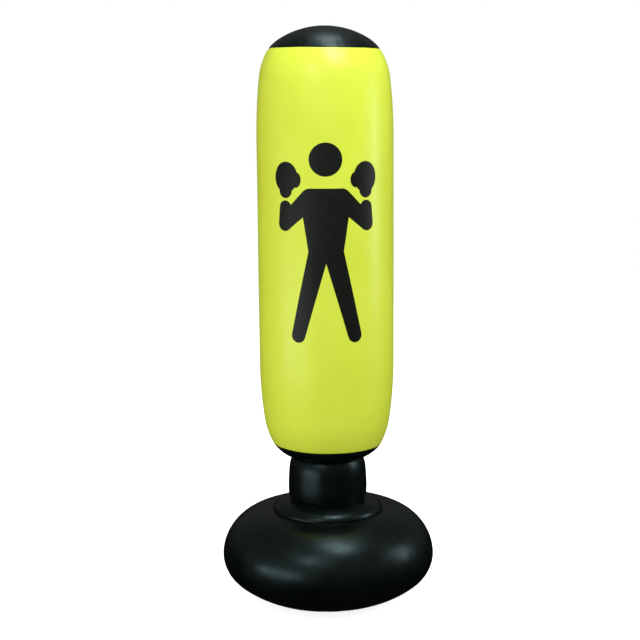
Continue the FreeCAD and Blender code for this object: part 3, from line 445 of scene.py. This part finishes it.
class Nodes:
    """A short way to add and join a material's nodes."""

    def __init__(self, name):
        self.material = bpy.data.materials.new(name)
        self.material.use_nodes = True
        self.tree = self.material.node_tree
        self.shader = self.tree.nodes["Principled BSDF"]
        self.place = self.add("ShaderNodeTexCoord").outputs["Object"]

    def add(self, kind, **values):
        made = self.tree.nodes.new(kind)
        for key, value in values.items():
            setattr(made, key, value)
        return made

    def join(self, output, entry):
        self.tree.links.new(output, entry)

    def noise(self, scale, detail=2.0, roughness=0.5, vector=None):
        made = self.add("ShaderNodeTexNoise")
        made.inputs["Scale"].default_value = scale
        made.inputs["Detail"].default_value = detail
        made.inputs["Roughness"].default_value = roughness
        self.join(vector or self.place, made.inputs["Vector"])
        return made.outputs["Fac"]

    def span(self, value, low, high, from_low=0.0, from_high=1.0):
        made = self.add("ShaderNodeMapRange")
        made.inputs["From Min"].default_value = from_low
        made.inputs["From Max"].default_value = from_high
        made.inputs["To Min"].default_value = low
        made.inputs["To Max"].default_value = high
        self.join(value, made.inputs["Value"])
        return made.outputs["Result"]

    def mix(self, share, first, second):
        made = self.add("ShaderNodeMix", data_type="RGBA")
        self.join(share, made.inputs["Factor"])
        for value, entry in ((first, made.inputs["A"]), (second, made.inputs["B"])):
            if hasattr(value, "is_linked"):
                self.join(value, entry)
            else:
                entry.default_value = (*value, 1.0)
        return made.outputs["Result"]

    def bump(self, height, strength, distance, under=None):
        made = self.add("ShaderNodeBump")
        made.inputs["Strength"].default_value = strength
        made.inputs["Distance"].default_value = distance
        self.join(height, made.inputs["Height"])
        if under:
            self.join(under, made.inputs["Normal"])
        return made.outputs["Normal"]


def film(name, colour, shade, rough, tint=(1.0, 1.0, 1.0)):
    """Inflated PVC film: nearly even colour, orange-peel gloss and faint handling marks.

    The tint colours what the film reflects, not the film."""
    n = Nodes(name)
    clouds = n.span(n.noise(5.0, 3.0), 0.0, 1.0, 0.35, 0.65)
    n.join(n.mix(clouds, colour, shade), n.shader.inputs["Base Color"])
    gloss = n.span(n.noise(22.0, 4.0, 0.6), rough[0], rough[1], 0.3, 0.7)
    n.join(gloss, n.shader.inputs["Roughness"])
    peel = n.bump(n.noise(260.0, 2.0), 0.12, 0.3 * MM)
    waves = n.bump(n.noise(18.0, 2.0), 0.25, 1.2 * MM, peel)
    n.join(waves, n.shader.inputs["Normal"])
    n.shader.inputs["IOR"].default_value = 1.52
    n.shader.inputs["Specular Tint"].default_value = (*tint, 1.0)
    return n.material


def moulded(name, colour, shade, rough=(0.4, 0.55), clear=0.0):
    """Small moulded plastic: fine matte grain and a faintly uneven tone."""
    n = Nodes(name)
    clouds = n.span(n.noise(160.0, 3.0), 0.0, 1.0, 0.35, 0.65)
    n.join(n.mix(clouds, colour, shade), n.shader.inputs["Base Color"])
    n.join(n.span(n.noise(900.0, 2.0), rough[0], rough[1]), n.shader.inputs["Roughness"])
    n.join(n.bump(n.noise(1800.0, 2.0), 0.15, 0.1 * MM), n.shader.inputs["Normal"])
    n.shader.inputs["Transmission Weight"].default_value = clear
    return n.material


def ink(name):
    """Screen-printed black: a little duller than the film, with a fine stipple."""
    n = Nodes(name)
    clouds = n.span(n.noise(60.0, 4.0), 0.0, 1.0, 0.35, 0.65)
    n.join(n.mix(clouds, (0.005, 0.006, 0.004), (0.008, 0.009, 0.006)), n.shader.inputs["Base Color"])
    n.join(n.span(n.noise(500.0, 2.0), 0.4, 0.52), n.shader.inputs["Roughness"])
    n.join(n.bump(n.noise(700.0, 2.0), 0.1, 0.1 * MM), n.shader.inputs["Normal"])
    return n.material


YELLOW = film("lime_film", (0.74, 0.85, 0.056), (0.69, 0.80, 0.046), (0.30, 0.38))
BLACK = film(
    "black_film", (0.0012, 0.0020, 0.0021), (0.0026, 0.0036, 0.0037), (0.30, 0.42), tint=(0.70, 1.0, 1.0)
)
INK = ink("print_ink")
CLEAR = moulded("clear_pvc", (0.62, 0.68, 0.64), (0.52, 0.58, 0.55), (0.25, 0.38), 0.25)
HARD_BLACK = moulded("hard_black", (0.014, 0.014, 0.015), (0.022, 0.022, 0.024))
RUBBER = moulded("gasket_rubber", (0.03, 0.03, 0.03), (0.045, 0.045, 0.045), (0.6, 0.8))


def water():
    n = Nodes("water")
    n.join(n.mix(n.noise(3.0), (0.80, 0.90, 0.92), (0.70, 0.84, 0.88)), n.shader.inputs["Base Color"])
    n.shader.inputs["Roughness"].default_value = 0.05
    n.shader.inputs["IOR"].default_value = 1.333
    n.shader.inputs["Transmission Weight"].default_value = 0.9
    return n.material


def dress(item, material):
    item.data.materials.clear()
    item.data.materials.append(material)


# ---------------------------------------------------------------- the inflated films

def inflated(name, outline, seams, seed, body, node, material, held_below=None, moves=None):
    if moves is None:
        moves = billow(name, outline, seed, held_below)
    made = lathe(name, outline, seams, seed, held_below=held_below, moves=moves)
    dress(made, material)
    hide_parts(*([node] if node else []))
    if body:
        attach(made, body)
    return made


tube = inflated(
    "bag_tube", tube_outline(), [LOWER_SEAM, UPPER_SEAM], 0.0, "bag", "bag_sleeve", YELLOW
)
lid = inflated("bag_lid", lid_outline(), [UPPER_SEAM], 10.0, "bag", "bag_top_panel", BLACK)
underside = inflated(
    "bag_underside",
    bulge(NECK_TOP, LOW_SEAM, UNDERSIDE_BULGE, 3 * MM),
    [NECK_SEAM, LOWER_SEAM], 20.0, "bag", "bag_bottom_panel", BLACK,
)
collar = inflated(
    "neck_collar",
    shoulder(CREASE, NECK_FOOT, 20),
    [CREASE_SEAM, NECK_FOOT_SEAM], 30.0, "base", "collar_panel", BLACK,
)
base_lower, base_upper = base_outlines()
base_line = base_lower + base_upper[1:]
rim = len(base_lower) - 1
base_moves = billow("base", base_line, 40.0, 20 * MM)
base_under = inflated(
    "base_underside", base_lower, [SIDE_SEAM], 40.0, "base", "base_floor_panel", BLACK,
    held_below=20 * MM, moves=base_moves[: rim + 1],
)
base_over = inflated(
    "base_cushion", base_upper, [SIDE_SEAM, CREASE_SEAM], 40.0, "base", "base_top_panel", BLACK,
    held_below=20 * MM, moves=base_moves[rim:],
)

# The neck is one tube in two halves.
neck_line = barrel(NECK_FOOT, NECK_TOP, NECK_SWELL, 3 * MM)
middle = len(neck_line) // 2
neck_seams = [NECK_FOOT_SEAM, NECK_SEAM]
neck_moves = billow("neck", neck_line, 60.0)
neck_low = inflated(
    "neck_lower_half", neck_line[: middle + 1], neck_seams, 60.0, None, "neck_sleeve", BLACK,
    moves=neck_moves[: middle + 1],
)
neck_high = inflated(
    "neck_upper_half", neck_line[middle:], neck_seams, 60.0, None, "neck_sleeve", BLACK,
    moves=neck_moves[middle:],
)
for half, first, second, joint in (
    (neck_low, "base", "neck", frame["joints"][0]),
    (neck_high, "neck", "bag", frame["joints"][1]),
):
    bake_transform(half)


# ---------------------------------------------------------------- the printed figure

INK_PROUD = 0.3 * MM
PRINT_STEP = 7 * MM  # the size of the print's faces

def wrap(item, angle, height, proud):
    """The point on the tube's skin at an angle from the front and a height, standing a little proud."""
    outward = Vector((math.sin(angle), -math.cos(angle), 0.0))
    hit = item.ray_cast(Vector((0, 0, height)), outward)
    return hit[0] + hit[1] * (proud if hit[1].dot(outward) > 0 else -proud)


def curve(centre, radius, start, sweep):
    """Points along an arc, ends included, about 9 degrees apart."""
    count = max(2, math.ceil(abs(sweep) / math.radians(9)))
    angles = [start + sweep * k / count for k in range(count + 1)]
    return [(centre[0] + radius * math.cos(a), centre[1] + radius * math.sin(a)) for a in angles]


def limb(start, end):
    """A rounded, tapered bar between two circles, each given as (across, up, radius)."""
    run, rise = end[0] - start[0], end[1] - start[1]
    aim = math.atan2(rise, run)
    lean = math.acos((start[2] - end[2]) / math.hypot(run, rise))
    back = curve(start[:2], start[2], aim + lean, 2 * math.pi - 2 * lean)
    return back + curve(end[:2], end[2], aim - lean, 2 * lean)


def oval(centre, across, high, count=40):
    angles = [2 * math.pi * k / count for k in range(count)]
    return [(centre[0] + across * math.cos(a), centre[1] + high * math.sin(a)) for a in angles]


def inside(point, outline):
    """Whether a point is in an outline: a ray from it crosses the outline an odd number of times."""
    hit = False
    for (ax, ay), (bx, by) in zip(outline, outline[1:] + outline[:1]):
        if (ay > point[1]) != (by > point[1]):
            if point[0] < (bx - ax) * (point[1] - ay) / (by - ay) + ax:
                hit = not hit
    return hit


def printed(name, shapes):
    """Ink wherever a shape lies: drawn in metres along the tube and up it, then wrapped on it."""
    step = PRINT_STEP
    lines = [
        [point for start, end in zip(shape, shape[1:] + shape[:1]) for point in straight(start, end, step)]
        for shape in shapes
    ]
    points, edges = [], []
    for line in lines:
        first = len(points)
        points += line
        edges += [(first + k, first + (k + 1) % len(line)) for k in range(len(line))]
    low = [min(p[i] for shape in shapes for p in shape) for i in (0, 1)]
    high = [max(p[i] for shape in shapes for p in shape) for i in (0, 1)]
    border = list(points)
    for row in range(1, int((high[1] - low[1]) / step) + 1):
        for column in range(1, int((high[0] - low[0]) / step) + 1):
            point = (low[0] + column * step, low[1] + row * step)
            if min(math.dist(point, p) for p in border) > 0.4 * step:
                points.append(point)
    flat, _, faces, _, _, _ = delaunay_2d_cdt([Vector(p) for p in points], edges, [], 0, 1e-6)
    kept = []
    for face in faces:
        middle_of = sum((flat[k] for k in face), Vector((0, 0))) / len(face)
        if any(inside(middle_of, shape) for shape in shapes):
            kept.append(tuple(face))
    used = sorted({k for face in kept for k in face})
    order = {k: j for j, k in enumerate(used)}
    ray = BVHTree.FromObject(tube, bpy.context.evaluated_depsgraph_get())
    vertices = [wrap(ray, flat[k].x / BAG_RADIUS, flat[k].y, INK_PROUD) for k in used]
    made = turned(name, vertices, [tuple(order[k] for k in face) for face in kept])
    dress(made, INK)
    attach(made, "bag")


# a plain standing figure with both gloves raised, seen from the front and the same on both sides;
# it is laid out in twelfths of its own height
FIGURE_FOOT, FIGURE_TOP = 0.760, 1.290
TWELFTH = (FIGURE_TOP - FIGURE_FOOT) / 12
PALM_STRETCH, THUMB_STRETCH = 0.92 / 0.80, 0.46 / 0.32  # height over width


def circle(across, up, radius):
    """A circle of the figure, given in twelfths: across from its middle line, up from its feet, radius."""
    return (across * TWELFTH, FIGURE_FOOT + up * TWELFTH, radius * TWELFTH)


def both_sides(*circles):
    """A rounded bar and its mirror image."""
    made = []
    for side in (-1, 1):
        made.append(limb(*[circle(side * across, up, radius) for across, up, radius in circles]))
    return made


head = circle(0.0, 11.0, 1.0)
printed("print_head", [oval(head[:2], head[2], head[2])])
printed(
    "print_body",
    [
        limb(circle(0.0, 8.2, 1.05), circle(0.0, 5.9, 1.0)),  # middle of the trunk
        limb(circle(-0.95, 8.7, 0.6), circle(0.95, 8.7, 0.59)),  # shoulders
    ]
    + both_sides((0.95, 8.7, 0.6), (0.5, 5.75, 0.59))  # sides of the trunk
    + both_sides((0.95, 8.7, 0.6), (2.6, 7.2, 0.46))  # upper arms
    + both_sides((2.6, 7.2, 0.46), (2.55, 8.15, 0.42))  # forearms
    + both_sides((0.42, 5.6, 0.62), (1.75, 0.46, 0.44)),  # legs
)
for side, name in ((-1, "print_left_glove"), (1, "print_right_glove")):
    palm, thumb = circle(side * 2.5, 9.95, 0.80), circle(side * 1.82, 9.8, 0.32)
    hand = oval(palm[:2], palm[2], PALM_STRETCH * palm[2])
    finger = oval(thumb[:2], thumb[2], THUMB_STRETCH * thumb[2])
    cuff = limb(circle(side * 2.53, 9.15, 0.44), circle(side * 2.5, 9.6, 0.52))
    printed(name, [hand, finger, cuff])


# ---------------------------------------------------------------- the cap's strap

def strap():
    """The strap that holds the screw cap: a copy of the CAD strap, in hard black."""
    made = nodes["filler_tether_strap"].copy()
    made.data = made.data.copy()
    made.name = "cap_strap"
    scene.collection.objects.link(made)
    place = made.matrix_world.copy()
    made.parent = None
    made.matrix_world = place
    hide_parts("filler_tether_strap")
    dress(made, HARD_BLACK)
    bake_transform(made)


strap()


# ---------------------------------------------------------------- the pieces that stay as CAD made them

for name, material in {
    "bag_back_seam": YELLOW,
    "bag_top_weld": BLACK, "bag_bottom_weld": BLACK, "neck_upper_weld": BLACK, "neck_lower_weld": BLACK,
    "base_rim_weld": BLACK, "base_diaphragm": BLACK, "base_crease_weld": BLACK,
    "air_valve_flange": YELLOW, "air_valve_stem": CLEAR, "air_valve_check_flap": CLEAR,
    "air_valve_plug": CLEAR, "air_valve_strap": CLEAR,
    "filler_flange": BLACK, "filler_neck": HARD_BLACK, "filler_cap": HARD_BLACK,
    "filler_gasket": RUBBER, "filler_tether_ring": HARD_BLACK,
    "filler_anchor_button": HARD_BLACK,
}.items():
    dress(nodes[name], material)
dress(nodes["ballast_water"], water())


# ---------------------------------------------------------------- stage, light and camera

def floor():
    """A pale round floor that fades out before its edge and only just darkens under the base."""
    bpy.ops.mesh.primitive_circle_add(vertices=128, radius=9.0, fill_type="NGON")
    made = bpy.context.object
    made.name = "studio_floor"
    made.visible_glossy = False
    made.visible_diffuse = False
    n = Nodes("studio_floor")
    length = n.add("ShaderNodeVectorMath", operation="LENGTH")
    n.join(n.place, length.inputs[0])
    away = length.outputs["Value"]
    n.shader.inputs["Base Color"].default_value = (0.93, 0.93, 0.93, 1.0)
    n.shader.inputs["Roughness"].default_value = 0.9
    n.shader.inputs["Specular IOR Level"].default_value = 0.1
    n.shader.inputs["Emission Color"].default_value = (1.0, 1.0, 1.0, 1.0)
    n.join(n.span(away, 0.82, 1.0, 0.25, 0.9), n.shader.inputs["Emission Strength"])
    n.join(n.span(away, 1.0, 0.0, 2.2, 7.0), n.shader.inputs["Alpha"])
    dress(made, n.material)


def softbox(name, place, target, size, power, colour):
    light = bpy.data.lights.new(name, "AREA")
    light.shape = "RECTANGLE"
    light.size, light.size_y = size
    light.energy = power
    light.color = colour
    made = bpy.data.objects.new(name, light)
    made.location = place
    made.rotation_euler = (Vector(target) - Vector(place)).to_track_quat("-Z", "Y").to_euler()
    scene.collection.objects.link(made)
    return made


def ranged(tree, value, inputs, outputs, smooth=False):
    """A value moved from one range to another."""
    made = tree.nodes.new("ShaderNodeMapRange")
    made.interpolation_type = "SMOOTHSTEP" if smooth else "LINEAR"
    for name, number in zip(("From Min", "From Max", "To Min", "To Max"), (*inputs, *outputs)):
        made.inputs[name].default_value = number
    tree.links.new(value, made.inputs["Value"])
    return made.outputs["Result"]


def either(tree, share, first, second):
    """The first value where share is nought, the second, which may be a plain number, where it is one."""
    made = tree.nodes.new("ShaderNodeMix")
    tree.links.new(share, made.inputs["Factor"])
    tree.links.new(first, made.inputs["A"])
    if isinstance(second, float):
        made.inputs["B"].default_value = second
    else:
        tree.links.new(second, made.inputs["B"])
    return made.outputs["Result"]


def surroundings():
    """White for the camera, an even glow on matt surfaces, and a dim sheen from above in glossy ones."""
    world = bpy.data.worlds.new("studio")
    scene.world = world
    world.use_nodes = True
    tree = world.node_tree
    back = tree.nodes["Background"]
    back.inputs["Color"].default_value = (1.0, 1.0, 1.0, 1.0)
    aim = tree.nodes.new("ShaderNodeTexCoord")
    split = tree.nodes.new("ShaderNodeSeparateXYZ")
    path = tree.nodes.new("ShaderNodeLightPath")
    tree.links.new(aim.outputs["Generated"], split.inputs["Vector"])
    upward = split.outputs["Z"]
    sheen = ranged(tree, upward, (-0.10, 0.30), (0.006, 0.105), smooth=True)
    glow = ranged(tree, upward, (-0.6, 0.6), (0.42, 0.68))
    lit = either(tree, path.outputs["Is Diffuse Ray"], sheen, glow)
    tree.links.new(either(tree, path.outputs["Is Camera Ray"], lit, 1.0), back.inputs["Strength"])


COOL, WHITE, WARM = (0.92, 1.0, 1.0), (1.0, 1.0, 1.0), (1.0, 0.94, 0.86)


def studio():
    """Five lamps that show as highlights, and three broad ones that only fill, unseen in reflections."""
    surroundings()
    scene.view_settings.view_transform = "Standard"
    softbox("overhead", (0.45, -1.02, 2.8), (0, 0, 0.6), (0.7, 1.0), 18, COOL)
    softbox("top_back", (0.15, 0.02, 3.0), (0, 0, 1.5), (1.3, 0.45), 8, COOL)
    softbox("front_left", (-1.3, -3.2, 2.9), (0, 0, 0.7), (1.2, 0.8), 16, COOL)
    softbox("left_strip", (-2.4, -1.9, 0.28), (0, 0, 0.3), (2.6, 0.26), 14, COOL)
    softbox("right_strip", (2.6, -0.1, 1.15), (0, 0, 1.15), (0.4, 1.0), 8, COOL)
    for name, place, size, power, colour in (
        ("front_fill", (0.2, -4.4, 1.3), (2.6, 2.6), 20, WHITE),
        ("left_fill", (-3.2, -0.6, 1.0), (1.2, 1.8), 14, WARM),
        ("right_fill", (3.2, -0.4, 1.0), (1.2, 1.8), 13, WHITE),
    ):
        softbox(name, place, (0, 0, 0.95), size, power, colour).visible_glossy = False


CAMERA_PLACE = (-0.0177, -3.850, 1.407)
LOOKS_DOWN, ROLL = math.radians(9.04), math.radians(-0.49)
LENS, SENSOR = 78.9, 36.0


def camera():
    """The photograph's view: a little above the bag's middle, from the front."""
    data = bpy.data.cameras.new("camera")
    data.sensor_width = SENSOR
    data.lens = LENS
    made = bpy.data.objects.new("camera", data)
    turn = Matrix.Rotation(math.pi / 2 - LOOKS_DOWN, 4, "X") @ Matrix.Rotation(ROLL, 4, "Z")
    made.matrix_world = Matrix.Translation(CAMERA_PLACE) @ turn
    scene.collection.objects.link(made)
    scene.camera = made


floor()
studio()
camera()
